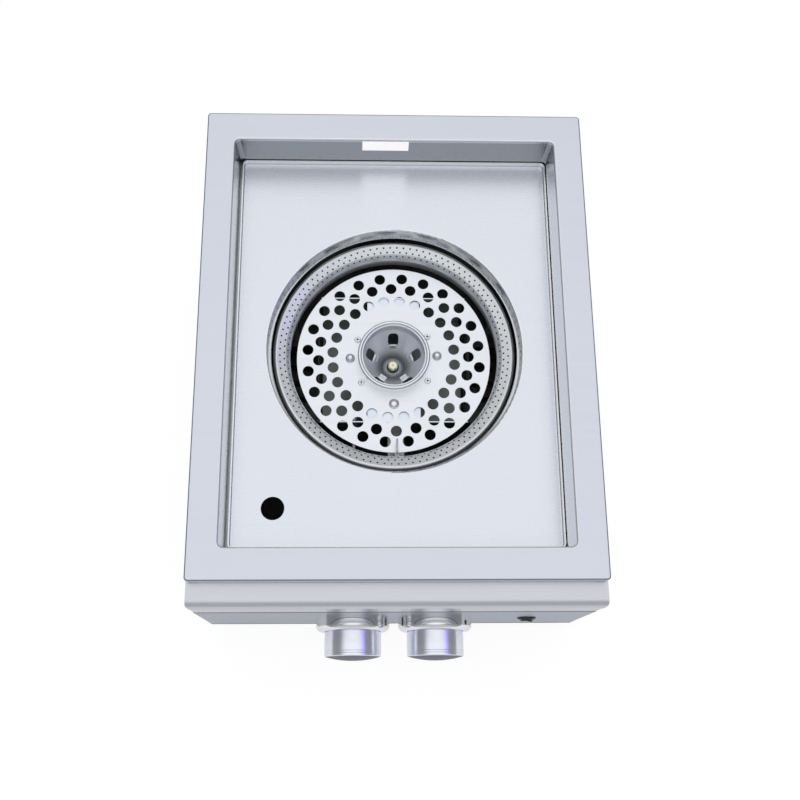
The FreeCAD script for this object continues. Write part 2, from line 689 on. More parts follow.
def make_control_panel():
    """The flat panel with folded returns, and holes for two valve stems and the light switch."""
    top = -PANEL_TOP_DROP
    inner_flange = HOUSING_HALF_X - FRONT_FLANGE - PANEL_SEAM
    back = PANEL_FACE + PANEL_RETURN
    face = block(-RIM_HALF_X, RIM_HALF_X, PANEL_FACE, PANEL_BACK, BASE_TOP, top)
    returns = [
        block(-inner_flange, inner_flange, PANEL_FACE, back, top - SHEET, top),
        block(-inner_flange, inner_flange, PANEL_FACE, back, BASE_TOP, BASE_TOP + SHEET),
        block(-RIM_HALF_X, -RIM_HALF_X + SHEET, PANEL_FACE, back, BASE_TOP, top),
        block(RIM_HALF_X - SHEET, RIM_HALF_X, PANEL_FACE, back, BASE_TOP, top),
    ]
    panel = join([face] + returns)
    front = PANEL_FACE - REACH
    behind = PANEL_BACK + REACH
    for x in KNOB_PLACES.values():
        panel = panel.cut(rod(STEM_RADIUS + 2, Vector(x, front, KNOB_Z), Vector(x, behind, KNOB_Z)))
        for side in (-1, 1):
            hole_x = x + side * VALVE_SCREW_SPACING / 2
            panel = panel.cut(rod(SCREW_SHANK_RADIUS, Vector(hole_x, front, KNOB_Z),
                                  Vector(hole_x, behind, KNOB_Z)))
    return panel.cut(rod(SWITCH_BODY_RADIUS, Vector(SWITCH_X, front, KNOB_Z),
                         Vector(SWITCH_X, behind, KNOB_Z)))


# Ring burner

def ring_section(inset, bottom_outer, bottom_inner):
    """The ring's rounded cross-section, drawn in by a wall thickness."""
    outer = RING_OUTER_RADIUS - inset
    inner = RING_INNER_RADIUS + inset
    top = RING_TOP - inset
    shoulder_z = top - RING_FALL
    diagonal = math.sqrt(0.5)
    outer_round = outer - RING_RIDGE_RADIUS
    inner_round = RING_SHOULDER_RADIUS - inner
    inner_fall = RING_ROUND + inner_round
    return [
        (outer, bottom_outer),
        (outer, top - outer_round),
        (RING_RIDGE_RADIUS, top,
         RING_RIDGE_RADIUS + outer_round * diagonal, top - outer_round * (1 - diagonal)),
        (RING_SHOULDER_RADIUS, shoulder_z),
        (inner, shoulder_z - inner_fall,
         inner + inner_round * (1 - diagonal), shoulder_z - inner_fall * 0.42),
        (inner, bottom_inner),
    ]


def make_ring_head():
    """The pressed top of the ring burner: ridge, sloping port band, shoulder and skirts."""
    outer_low = RING_TOP - RING_SKIRT_OUTER - RING_FALL
    inner_low = RING_TOP - RING_SKIRT_INNER - RING_FALL
    skin = ring_section(0, outer_low, inner_low)
    hollow = [spot[:2] for spot in ring_section(RING_WALL, outer_low, inner_low)]
    return spin_z(skin + hollow[::-1])


def make_ring_base():
    """The channel under the ring head, open at the top, with the mixing tube's inlet."""
    outer = RING_OUTER_RADIUS - RING_WALL
    inner = RING_INNER_RADIUS + RING_WALL
    top = RING_TOP - RING_FALL - RING_ROUND - RING_INNER_ROUND - RING_BASE_GAP
    channel = spin_z([
        (outer, RING_BASE), (outer, top), (outer - RING_WALL, top),
        (outer - RING_WALL, RING_BASE + RING_WALL), (inner + RING_WALL, RING_BASE + RING_WALL),
        (inner + RING_WALL, top), (inner, top), (inner, RING_BASE),
    ])
    inlet = rod(VENTURI_RADIUS - VENTURI_WALL, Vector(VENTURI_X, VENTURI_Y, RING_BASE - REACH),
                Vector(VENTURI_X, VENTURI_Y, RING_BASE + RING_WALL + REACH))
    return channel.cut(inlet.common(rod(outer - RING_WALL, Vector(0, 0, RING_BASE - REACH),
                                        Vector(0, 0, top))))


def make_ring_legs():
    """Four round legs from the cross rails up to the ring."""
    leg_x = math.sqrt(RING_MIDDLE_RADIUS ** 2 - RAIL_OFFSET ** 2)
    legs = []
    for side_x in (-1, 1):
        for side_y in (-1, 1):
            foot = Vector(side_x * leg_x, side_y * RAIL_OFFSET, BOX_FLOOR)
            legs.append(rod(RING_LEG_RADIUS, foot, Vector(foot.x, foot.y, RING_BASE)))
    return Part.makeCompound(legs)


# Perforated plate and centre cup

def cup_screw_places():
    return [polar(SCREW_CIRCLE_RADIUS, angle, PLATE_TOP) for angle in SCREW_ANGLES]


def post_places():
    return [polar(POST_CIRCLE_RADIUS, angle, PLATE_TOP) for angle in POST_ANGLES]


def fixing_holes(z0, z1):
    """Cutters for the screws, posts and stud that pass through the plate and the cup's flange."""
    stud = Vector(0, -STUD_CIRCLE_RADIUS, 0)
    radii = [(spot, SCREW_SHANK_RADIUS) for spot in cup_screw_places()]
    radii += [(spot, POST_RADIUS) for spot in post_places()]
    radii.append((stud, POST_RADIUS))
    return [rod(radius, Vector(spot.x, spot.y, z0), Vector(spot.x, spot.y, z1))
            for spot, radius in radii]


def make_perforated_plate():
    """The round plate with three staggered rings of air holes."""
    plate = rod(PLATE_RADIUS, Vector(0, 0, PLATE_BOTTOM), Vector(0, 0, PLATE_TOP))
    low = PLATE_BOTTOM - REACH
    high = PLATE_TOP + REACH
    cutters = [rod(CUP_BORE_RADIUS + CUP_WALL, Vector(0, 0, low), Vector(0, 0, high))]
    pitch = 360 / PLATE_HOLES_PER_RING
    for inset, phase in PLATE_RINGS:
        for index in range(PLATE_HOLES_PER_RING):
            centre = polar(PLATE_RADIUS - inset, (index + phase) * pitch + PLATE_TURN, low)
            cutters.append(rod(PLATE_HOLE_RADIUS, centre, Vector(centre.x, centre.y, high)))
    return plate.cut(Part.makeCompound(cutters + fixing_holes(low, high)))


def cup_cone_radius(z):
    """The cup's inner radius at a height on its cone."""
    share = (-CUP_CONE_TOP - z) / (CUP_FLOOR_DROP - CUP_CONE_TOP)
    return CUP_BORE_RADIUS + (CUP_FLOOR_RADIUS - CUP_BORE_RADIUS) * share


def make_burner_cup():
    """The centre cup: a short bore, a cone with louvred air slots, and a flange under the plate."""
    outer = CUP_BORE_RADIUS + CUP_WALL
    top = -CUP_TOP_DROP - CUP_BEAD_WIDTH / 2
    floor = -CUP_FLOOR_DROP
    cup = spin_z([
        (CUP_BORE_RADIUS, top),
        (CUP_BORE_RADIUS, -CUP_CONE_TOP),
        (CUP_FLOOR_RADIUS, floor),
        (CUP_OUTLET_RADIUS, floor),
        (CUP_OUTLET_RADIUS, floor - CUP_WALL),
        (CUP_FLOOR_RADIUS + CUP_WALL / 2, floor - CUP_WALL),
        (outer, CUP_FLANGE_BOTTOM),
        (CUP_FLANGE_RADIUS, CUP_FLANGE_BOTTOM),
        (CUP_FLANGE_RADIUS, PLATE_BOTTOM),
        (outer, PLATE_BOTTOM),
        (outer, top),
    ])
    window_height = LOUVRE_BOTTOM_DROP - LOUVRE_TOP_DROP
    window_z = -(LOUVRE_BOTTOM_DROP + LOUVRE_TOP_DROP) / 2
    lip_radius = cup_cone_radius(-LOUVRE_BOTTOM_DROP)
    window = rounded_wire(LOUVRE_WIDTH / 2, window_height / 2, LOUVRE_CORNER, 0)
    cutter = Part.Face(window).extrude(Vector(0, 0, CUP_FLANGE_RADIUS - CUP_FLOOR_RADIUS))
    cutter.rotate(ORIGIN, X_AXIS, 90)
    cutter.translate(Vector(0, CUP_FLANGE_RADIUS, window_z))
    lip = block(-LOUVRE_WIDTH / 2 + LOUVRE_CORNER / 2, LOUVRE_WIDTH / 2 - LOUVRE_CORNER / 2,
                -LOUVRE_LIP, SHEET, -SHEET, 0)
    lip.rotate(ORIGIN, X_AXIS, -20)
    lip.translate(Vector(0, lip_radius, -LOUVRE_BOTTOM_DROP))
    cutters = fixing_holes(CUP_FLANGE_BOTTOM - REACH, PLATE_BOTTOM + REACH)
    lips = []
    for index in range(LOUVRES):
        turn = index * 360 / LOUVRES
        slot = cutter.copy()
        slot.rotate(ORIGIN, Z_AXIS, turn)
        cutters.append(slot)
        tongue = lip.copy()
        tongue.rotate(ORIGIN, Z_AXIS, turn)
        lips.append(tongue)
    return join([cup.cut(Part.makeCompound(cutters))] + lips)


def make_cup_collar():
    """The polished beaded ring that stands on the plate round the cup."""
    inner = CUP_BORE_RADIUS + CUP_WALL
    outer = inner + CUP_BEAD_WIDTH
    bead_z = -CUP_TOP_DROP - CUP_BEAD_WIDTH / 2
    bead_low = bead_z - CUP_BEAD_WIDTH / 2
    wall_inner = outer - CUP_COLLAR_WALL
    return spin_z([
        (inner, bead_low),
        (inner, bead_z),
        (outer, bead_z, (inner + outer) / 2, -CUP_TOP_DROP),
        (outer, PLATE_TOP),
        (wall_inner, PLATE_TOP),
        (wall_inner, bead_low),
    ])


def make_cup_washer():
    """The ring that sits on the cup's floor round the gas jet."""
    floor = -CUP_FLOOR_DROP
    return spin_z([(CUP_OUTLET_RADIUS, floor), (WASHER_RADIUS, floor),
                   (WASHER_RADIUS, floor + SHEET / 2), (WASHER_RADIUS - SHEET, floor + SHEET),
                   (CUP_OUTLET_RADIUS, floor + SHEET)])


def pan_head(head_centre, outward, radius, height):
    """A screw head with a bevelled edge and a cross recess."""
    bevel = height * HEAD_BEVEL
    shoulder = head_centre + outward * (height - bevel)
    head = join([rod(radius, head_centre, shoulder),
                 Part.makeCone(radius, radius - bevel, bevel, shoulder, outward)])
    long = RECESS_LENGTH / 2
    short = RECESS_WIDTH / 2
    cross = join([block(-long, long, -short, short, -RECESS_DEPTH, REACH),
                  block(-short, short, -long, long, -RECESS_DEPTH, REACH)])
    cross.Placement = FreeCAD.Placement(head_centre + outward * height,
                                        FreeCAD.Rotation(Z_AXIS, outward))
    return head.cut(cross)


def screw_along(head_centre, outward, head_radius, head_height, shank_radius, shank_length):
    """A pan-head screw with a plain shank behind its head."""
    shank = rod(shank_radius, head_centre - outward * shank_length, head_centre)
    return pan_head(head_centre, outward, head_radius, head_height).fuse(shank)


def make_cup_screws():
    """Four small screws that hold the cup's flange to the plate."""
    grip = PLATE_THICKNESS + CUP_WALL + NUT_GRIP
    return Part.makeCompound([
        screw_along(spot, Z_AXIS, SCREW_HEAD_RADIUS, SCREW_HEAD_HEIGHT, SCREW_SHANK_RADIUS, grip)
        for spot in cup_screw_places()])


def make_support_posts():
    """Two posts with domed nuts that carry the plate and the cup on the box's floor."""
    posts = []
    for spot in post_places():
        nut_base = Vector(spot.x, spot.y, PLATE_TOP)
        dome = Part.makeSphere(DOME_RADIUS, nut_base).common(
            Part.makeBox(4 * DOME_RADIUS, 4 * DOME_RADIUS, 2 * DOME_RADIUS,
                         nut_base - Vector(2 * DOME_RADIUS, 2 * DOME_RADIUS, 0)))
        stem = rod(POST_RADIUS, Vector(spot.x, spot.y, CUP_FLANGE_BOTTOM), nut_base)
        foot = Vector(spot.x, spot.y, BOX_FLOOR_TOP)
        leg = rod(POST_RADIUS + POST_SHOULDER, foot, Vector(spot.x, spot.y, CUP_FLANGE_BOTTOM))
        posts.append(join([dome, stem, leg]))
    return Part.makeCompound(posts)


def make_plate_stud():
    """The round-headed bolt at the front that clamps the plate to the box's front tab."""
    base = Vector(0, -STUD_CIRCLE_RADIUS, PLATE_TOP)
    top = base + Z_AXIS * STUD_HEAD_HEIGHT
    ball_radius = (STUD_HEAD_RADIUS ** 2 + STUD_HEAD_HEIGHT ** 2) / (2 * STUD_HEAD_HEIGHT)
    ball = Part.makeSphere(ball_radius, top - Z_AXIS * ball_radius)
    head = ball.common(rod(STUD_HEAD_RADIUS, base, top))
    grip = PLATE_THICKNESS + CUP_WALL + SHEET + NUT_GRIP
    return head.fuse(rod(POST_RADIUS, base - Z_AXIS * grip, base))


# Burner box, rails, jets and tubes

def make_burner_box():
    """The sheet box inside the ring that carries the plate, with two tabs bent in at its top."""
    half_x = BOX_WIDTH / 2
    half_y = BOX_DEPTH / 2
    shell = block(-half_x, half_x, -half_y, half_y, BOX_FLOOR, PLATE_BOTTOM)
    inside = block(-half_x + SHEET, half_x - SHEET, -half_y + SHEET, half_y - SHEET,
                   BOX_FLOOR_TOP, PLATE_BOTTOM + REACH)
    tab_top = CUP_FLANGE_BOTTOM
    tabs = block(-BOX_TAB_WIDTH / 2, BOX_TAB_WIDTH / 2, -half_y, half_y, tab_top - SHEET, tab_top)
    tab_bore = rod(BOX_TAB_BORE, Vector(0, 0, tab_top - 2 * SHEET), Vector(0, 0, PLATE_BOTTOM))
    window_z = (BOX_FLOOR + tab_top) / 2
    window = block(-half_x - REACH, half_x + REACH, -BOX_WINDOW_WIDTH / 2, BOX_WINDOW_WIDTH / 2,
                   window_z - BOX_WINDOW_HEIGHT / 2, window_z + BOX_WINDOW_HEIGHT / 2)
    feed_hole = rod(FEED_RADIUS, Vector(KNOB_PLACES["left"], -half_y - REACH, KNOB_Z),
                    Vector(KNOB_PLACES["left"], -half_y + 2 * SHEET, KNOB_Z))
    stud_hole = rod(POST_RADIUS, Vector(0, -STUD_CIRCLE_RADIUS, tab_top - 2 * SHEET),
                    Vector(0, -STUD_CIRCLE_RADIUS, PLATE_BOTTOM))
    box = shell.cut(inside).fuse(tabs.cut(tab_bore))
    return box.cut(window).cut(feed_hole).cut(stud_hole).removeSplitter()


def make_rail(side):
    """A channel across the housing that carries the box and the ring's legs."""
    length = HOUSING_HALF_X - SHEET
    middle = side * RAIL_OFFSET
    half = RAIL_WIDTH / 2
    bar = block(-length, length, middle - half, middle + half, RAIL_BOTTOM, BOX_FLOOR)
    hollow = block(-length, length, middle - half + RAIL_WALL, middle + half - RAIL_WALL,
                   RAIL_BOTTOM - REACH, BOX_FLOOR - RAIL_WALL)
    return bar.cut(hollow)


def make_rail_screws():
    """Screw heads on the housing's sides that hold the rails."""
    screws = []
    for side_x in (-1, 1):
        for side_y in (-1, 1):
            spot = Vector(side_x * HOUSING_HALF_X, side_y * RAIL_OFFSET, BOX_FLOOR - RAIL_HEIGHT / 2)
            outward = Vector(side_x, 0, 0)
            screws.append(pan_head(spot, outward, SCREW_HEAD_RADIUS, SCREW_HEAD_HEIGHT))
    return Part.makeCompound(screws)


def make_jet_block():
    """The pedestal under the cup that turns the gas upwards into the centre jet."""
    half = JET_BLOCK_WIDTH / 2
    return block(-half, half, -half, half, BOX_FLOOR_TOP, JET_BLOCK_TOP)


def make_centre_jet():
    """The brass jet that stands in the cup's floor, with its drilled tip."""
    tip = -JET_TIP_DROP
    foot_radius = JET_RADIUS + JET_FOOT
    foot_top = JET_BLOCK_TOP + JET_FOOT_HEIGHT
    jet = spin_z([(0, JET_BLOCK_TOP), (foot_radius, JET_BLOCK_TOP), (foot_radius, foot_top),
                  (JET_RADIUS, foot_top + JET_FOOT), (JET_RADIUS, tip - JET_BEVEL),
                  (JET_RADIUS - JET_BEVEL, tip), (0, tip)])
    drill = rod(JET_HOLE_RADIUS, Vector(0, 0, tip - JET_RADIUS), Vector(0, 0, tip + REACH))
    return jet.cut(drill)


def make_centre_feed():
    """The aluminium tube from the left valve to the pedestal under the cup."""
    x = KNOB_PLACES["left"]
    turn_y = -BOX_DEPTH / 2 + 2 * FEED_BEND - 6
    return hollow_tube([Vector(x, VALVE_BACK, KNOB_Z), Vector(x, turn_y, KNOB_Z),
                        Vector(0, turn_y, KNOB_Z), Vector(0, -JET_BLOCK_WIDTH / 2, KNOB_Z)],
                       FEED_RADIUS, FEED_BORE, FEED_BEND)


def air_windows(radius, length, y_middle):
    """Two facing cutters for the air windows in the mixing tube's mouth or its shutter."""
    half = math.radians(AIR_WINDOW_ANGLE / 2)
    far = 2 * radius
    cutters = []
    for side in (-1, 1):
        points = [Vector(VENTURI_X, y_middle - length / 2, KNOB_Z)]
        for sign in (-1, 1):
            points.append(points[0] + Vector(math.sin(half) * far * sign, 0,
                                             math.cos(half) * far * side))
        wedge = Part.Face(Part.makePolygon(points + [points[0]]))
        cutters.append(wedge.extrude(Vector(0, length, 0)))
    return Part.makeCompound(cutters)


def make_ring_venturi():
    """The mixing tube from the right valve's jet up into the ring, with its windowed mouth."""
    path = [Vector(VENTURI_X, MOUTH_BACK, KNOB_Z), Vector(VENTURI_X, VENTURI_Y, KNOB_Z),
            Vector(VENTURI_X, VENTURI_Y, RING_BASE)]
    outer = tube(path, VENTURI_RADIUS, VENTURI_BEND)
    inner = tube(path, VENTURI_RADIUS - VENTURI_WALL, VENTURI_BEND)
    mouth = spin_y([
        (SPUD_NOSE_RADIUS, MOUTH_FRONT), (MOUTH_RADIUS, MOUTH_FRONT), (MOUTH_RADIUS, MOUTH_BACK - 4),
        (VENTURI_RADIUS, MOUTH_BACK + 4), (VENTURI_RADIUS - VENTURI_WALL, MOUTH_BACK + 4),
        (MOUTH_RADIUS - VENTURI_WALL, MOUTH_BACK - 4),
        (MOUTH_RADIUS - VENTURI_WALL, MOUTH_FRONT + VENTURI_WALL),
        (SPUD_NOSE_RADIUS, MOUTH_FRONT + VENTURI_WALL),
    ], VENTURI_X, KNOB_Z)
    window_y = MOUTH_FRONT + MOUTH_LENGTH / 2 - 2
    mouth = mouth.cut(air_windows(MOUTH_RADIUS, AIR_WINDOW_LENGTH, window_y))
    return join([outer, mouth]).cut(inner)


def make_air_shutter():
    """The turning sleeve that opens and closes the mouth's air windows."""
    inner = MOUTH_RADIUS + SHUTTER_CLEARANCE
    outer = inner + SHUTTER_WALL
    middle = MOUTH_FRONT + MOUTH_LENGTH / 2 - 2
    start = Vector(VENTURI_X, middle - SHUTTER_LENGTH / 2, KNOB_Z)
    end = Vector(VENTURI_X, middle + SHUTTER_LENGTH / 2, KNOB_Z)
    sleeve = pipe(outer, inner, start, end).cut(air_windows(outer, AIR_WINDOW_LENGTH - 4, middle))
    tab = block(VENTURI_X + inner + 0.2, VENTURI_X + outer + 6, middle - 4, middle + 4,
                KNOB_Z - 0.8, KNOB_Z + 0.8)
    return join([sleeve, tab])


def make_ring_spud():
    """The brass spud on the right valve that jets gas into the mixing tube."""
    start = Vector(VENTURI_X, VALVE_BACK, KNOB_Z)
    shoulder = start + Y_AXIS * SPUD_LENGTH
    nose_end = shoulder + Y_AXIS * SPUD_NOSE_LENGTH
    spud = join([hexagon(SPUD_HEX, start, shoulder), rod(SPUD_NOSE_RADIUS, shoulder, nose_end)])
    return spud.cut(rod(JET_SPUD_HOLE, shoulder, nose_end + Y_AXIS * REACH))


def make_manifold():
    """The straight pipe under the valves, capped at its left end."""
    start = Vector(MANIFOLD_LEFT, MANIFOLD_Y, MANIFOLD_Z)
    end = Vector(MANIFOLD_RIGHT, MANIFOLD_Y, MANIFOLD_Z)
    cap = rod(PIPE_RADIUS, start, start + X_AXIS * MANIFOLD_CAP)
    return join([pipe(PIPE_RADIUS, PIPE_BORE, start, end), cap])


def make_supply_pipe():
    """The pipe from the manifold round to the back of the housing."""
    return hollow_tube([Vector(MANIFOLD_RIGHT, MANIFOLD_Y, MANIFOLD_Z),
                        Vector(SUPPLY_X, MANIFOLD_Y, MANIFOLD_Z),
                        Vector(SUPPLY_X, HOUSING_BACK, MANIFOLD_Z)],
                       PIPE_RADIUS, PIPE_BORE, SUPPLY_BEND)


def make_inlet_fitting():
    """The hexagon and plain nipple behind the housing where the gas line is screwed on."""
    start = Vector(SUPPLY_X, HOUSING_BACK, MANIFOLD_Z)
    shoulder = start + Y_AXIS * INLET_HEX_LENGTH
    end = shoulder + Y_AXIS * INLET_LENGTH
    body = join([hexagon(INLET_HEX, start, shoulder), rod(INLET_RADIUS, shoulder, end)])
    return body.cut(rod(PIPE_BORE, start - Y_AXIS, end + Y_AXIS))


# Valves, knobs and bezels

def plug_front():
    """Where the turning plug ends inside its valve body, towards the knob."""
    return VALVE_BACK - 10 - PLUG_LENGTH


def make_valve_body(x):
    """The valve casting: bore for the plug, neck saddled on the manifold, outlet at the back."""
    half = VALVE_WIDTH / 2
    casting = block(x - half, x + half, VALVE_FRONT, VALVE_BACK,
                    KNOB_Z - VALVE_HEIGHT / 2, KNOB_Z + VALVE_HEIGHT / 2)
    upright = [edge for edge in casting.Edges
               if abs(edge.tangentAt(edge.FirstParameter).y) > 0.9]
    casting = casting.makeFillet(4, upright)
    neck = rod(VALVE_NECK_RADIUS, Vector(x, MANIFOLD_Y, MANIFOLD_Z),
               Vector(x, MANIFOLD_Y, KNOB_Z - VALVE_HEIGHT / 2 + 1))
    manifold = rod(PIPE_RADIUS, Vector(x - 20, MANIFOLD_Y, MANIFOLD_Z),
                   Vector(x + 20, MANIFOLD_Y, MANIFOLD_Z))
    bore = rod(PLUG_RADIUS, Vector(x, VALVE_FRONT - REACH, KNOB_Z),
               Vector(x, plug_front() + PLUG_LENGTH + 0.3, KNOB_Z))
    return join([casting, neck.cut(manifold)]).cut(bore)


def make_valve_cover(x):
    """The valve's front: a flange on the panel and a barrel that guides the stem."""
    half_x = VALVE_FLANGE_WIDTH / 2
    half_z = VALVE_FLANGE_HEIGHT / 2
    flange = slab(half_x, half_z, 5, 0, 4)
    flange.rotate(ORIGIN, X_AXIS, -90)
    flange.translate(Vector(x, PANEL_BACK, KNOB_Z))
    barrel = rod(PLUG_RADIUS + 2, Vector(x, PANEL_BACK, KNOB_Z), Vector(x, VALVE_FRONT, KNOB_Z))
    bore = rod(STEM_RADIUS + STEM_CLEARANCE, Vector(x, PANEL_BACK - REACH, KNOB_Z),
               Vector(x, VALVE_FRONT + REACH, KNOB_Z))
    cover = join([flange, barrel]).cut(bore)
    for side in (-1, 1):
        hole_x = x + side * VALVE_SCREW_SPACING / 2
        cover = cover.cut(rod(SCREW_SHANK_RADIUS, Vector(hole_x, PANEL_BACK - REACH, KNOB_Z),
                              Vector(hole_x, PANEL_BACK + 5, KNOB_Z)))
    return cover


def make_valve_screws():
    """Screws from the panel's face into each valve's flange, hidden behind the knobs."""
    screws = []
    for x in KNOB_PLACES.values():
        for side in (-1, 1):
            spot = Vector(x + side * VALVE_SCREW_SPACING / 2, PANEL_FACE, KNOB_Z)
            screws.append(screw_along(spot, Vector(0, -1, 0), 3.2, 1.5, SCREW_SHANK_RADIUS, 5.2))
    return Part.makeCompound(screws)


def make_valve_plug(x):
    """The turning plug, with a cross slot for the stem's blade and a gas port."""
    front = plug_front()
    plug = rod(PLUG_RADIUS - STEM_CLEARANCE, Vector(x, front, KNOB_Z),
               Vector(x, front + PLUG_LENGTH, KNOB_Z))
    slot_x = BLADE_WIDTH / 2 + BLADE_CLEARANCE
    slot_z = BLADE_THICKNESS / 2 + BLADE_CLEARANCE
    slot = block(x - slot_x, x + slot_x, front - REACH, front + PLUG_LENGTH - 1.5,
                 KNOB_Z - slot_z, KNOB_Z + slot_z)
    port = rod(2.0, Vector(x, front + PLUG_LENGTH / 2, KNOB_Z + slot_z),
               Vector(x, front + PLUG_LENGTH / 2, KNOB_Z + 2 * PLUG_RADIUS))
    return plug.cut(slot).cut(port)


def knob_rear():
    return PANEL_FACE - KNOB_GAP


def make_valve_stem(x):
    """The sprung stem: a flatted shaft in the knob, a spring collar and a blade in the plug."""
    rear = VALVE_FRONT + 0.3
    nose = KNOB_END + KNOB_WALL + 6
    shaft_end = plug_front() - PUSH_TRAVEL - STEM_END_GAP
    shaft = rod(STEM_RADIUS, Vector(x, nose, KNOB_Z), Vector(x, shaft_end, KNOB_Z))
    flat = block(x - STEM_RADIUS, x + STEM_RADIUS, nose - REACH, knob_rear(),
                 KNOB_Z + STEM_RADIUS - STEM_FLAT, KNOB_Z + 2 * STEM_RADIUS)
    collar = rod(PLUG_RADIUS - 1, Vector(x, rear, KNOB_Z), Vector(x, rear + 2, KNOB_Z))
    half_x = BLADE_WIDTH / 2
    half_z = BLADE_THICKNESS / 2
    blade_end = plug_front() + PLUG_LENGTH - 1.5 - PUSH_TRAVEL - 0.4
    blade = block(x - half_x, x + half_x, shaft_end - REACH, blade_end,
                  KNOB_Z - half_z, KNOB_Z + half_z)
    return join([shaft.cut(flat), collar, blade])


def make_stem_spring(x):
    """The spring round the stem between its collar and the plug, as its plain envelope."""
    start = VALVE_FRONT + 2.3
    return pipe(PLUG_RADIUS - 1.5, STEM_RADIUS + 1, Vector(x, start, KNOB_Z),
                Vector(x, plug_front(), KNOB_Z))


def make_knob(x):
    """The hollow metal knob: two fine grooves, a domed face and a boss bored for the stem."""
    rear = knob_rear()
    inner = KNOB_RADIUS - KNOB_WALL
    edge = 0.6
    shell = spin_y([
        (0, FRONT_REACH),
        (KNOB_RADIUS - edge, KNOB_END, KNOB_RADIUS * 0.52, KNOB_END - KNOB_CROWN * 0.735),
        (KNOB_RADIUS, KNOB_END + edge),
        (KNOB_RADIUS, KNOB_END + 3), (KNOB_RADIUS - KNOB_GROOVE, KNOB_END + 3.4),
        (KNOB_RADIUS, KNOB_END + 3.8), (KNOB_RADIUS, KNOB_END + 5.6),
        (KNOB_RADIUS - KNOB_GROOVE, KNOB_END + 6), (KNOB_RADIUS, KNOB_END + 6.4),
        (KNOB_RADIUS, rear - edge), (KNOB_RADIUS - edge, rear), (inner, rear),
        (inner, KNOB_END + KNOB_WALL), (0, KNOB_END + KNOB_WALL),
    ], x, KNOB_Z)
    boss_rear = rear - 2
    boss = rod(KNOB_BOSS_RADIUS, Vector(x, boss_rear, KNOB_Z), Vector(x, KNOB_END + 1, KNOB_Z))
    nose = KNOB_END + KNOB_WALL + 6
    flat = block(x - STEM_RADIUS, x + STEM_RADIUS, nose, boss_rear + REACH,
                 KNOB_Z + STEM_RADIUS - STEM_FLAT, KNOB_Z + 2 * STEM_RADIUS)
    bore = rod(STEM_RADIUS, Vector(x, boss_rear + REACH, KNOB_Z), Vector(x, nose, KNOB_Z)).cut(flat)
    return join([shell, boss]).cut(bore)


def make_bezel(x):
    """The chrome ring on the panel round a knob, its shoulder rounded in to the knob."""
    lip_radius = KNOB_RADIUS + BEZEL_CLEARANCE
    front = PANEL_FACE - BEZEL_DEPTH
    barrel = PANEL_FACE - BEZEL_BARREL
    lip_outer = lip_radius + 1.2
    middle_radius = lip_outer + (BEZEL_RADIUS - lip_outer) * 0.76
    middle_y = barrel - (barrel - front) * 0.6
    return spin_y([
        (BEZEL_RADIUS - BEZEL_WALL, PANEL_FACE), (BEZEL_RADIUS, PANEL_FACE),
        (BEZEL_RADIUS, barrel), (lip_outer, front, middle_radius, middle_y),
        (lip_radius, front), (lip_radius, front + BEZEL_WALL),
        (BEZEL_RADIUS - BEZEL_WALL, barrel - 1),
    ], x, KNOB_Z)


def make_led_ring(x):
    """The clear light ring on the panel inside a bezel."""
    outer = BEZEL_RADIUS - BEZEL_WALL
    start = Vector(x, PANEL_FACE - LED_RING_DEPTH, KNOB_Z)
    return pipe(outer, outer - LED_RING_WIDTH, start, Vector(x, PANEL_FACE, KNOB_Z))


# Ignition and light switch

def make_electrode_bracket():
    """The arm from the box's front wall that holds the spark electrode in the gap."""
    wall = -BOX_DEPTH / 2
    top = -ELECTRODE_ARM_DROP
    x0 = ELECTRODE_X - ELECTRODE_ARM_WIDTH / 2
    x1 = ELECTRODE_X + ELECTRODE_ARM_WIDTH / 2
    arm = block(x0, x1, ELECTRODE_Y - 6, wall, top - RAIL_WALL, top)
    flange = block(x0, x1, wall - RAIL_WALL, wall, top - 20, top)
    hole = rod(CERAMIC_RADIUS, Vector(ELECTRODE_X, ELECTRODE_Y, top - 5),
               Vector(ELECTRODE_X, ELECTRODE_Y, top + 5))
    return join([arm, flange]).cut(hole)


def make_electrode_ceramic():
    """The electrode's insulator, with a shoulder above and below its bracket."""
    top = -CERAMIC_TOP_DROP
    arm_top = -ELECTRODE_ARM_DROP
    shoulder = CERAMIC_RADIUS + 1.2
    body = rod(CERAMIC_RADIUS, Vector(ELECTRODE_X, ELECTRODE_Y, top - CERAMIC_LENGTH),
               Vector(ELECTRODE_X, ELECTRODE_Y, top))
    above = rod(shoulder, Vector(ELECTRODE_X, ELECTRODE_Y, arm_top),
                Vector(ELECTRODE_X, ELECTRODE_Y, arm_top + 5))
    return join([body, above])


def make_spark_wire():
    """The bare wire that bends from the insulator over the edge of the plate."""
    top = -SPARK_TOP_DROP
    tip_y = ELECTRODE_Y + SPARK_REACH
    return tube([Vector(ELECTRODE_X, ELECTRODE_Y, -CERAMIC_TOP_DROP),
                 Vector(ELECTRODE_X, ELECTRODE_Y, top), Vector(ELECTRODE_X, tip_y, top),
                 Vector(ELECTRODE_X, tip_y, top - SPARK_HOOK)],
                SPARK_WIRE_RADIUS, SPARK_WIRE_BEND)


def piezo_x():
    return KNOB_PLACES["left"] - VALVE_WIDTH / 2 - PIEZO_WIDTH / 2


def make_piezo_igniter():
    """The igniter block on the left valve, worked by the stem as it is pushed and turned."""
    half = PIEZO_WIDTH / 2
    front = VALVE_FRONT
    body = block(piezo_x() - half, piezo_x() + half, front, front + PIEZO_LENGTH,
                 KNOB_Z - half, KNOB_Z + half)
    long_edges = [edge for edge in body.Edges if abs(edge.tangentAt(edge.FirstParameter).y) > 0.9]
    return body.makeFillet(3, long_edges)


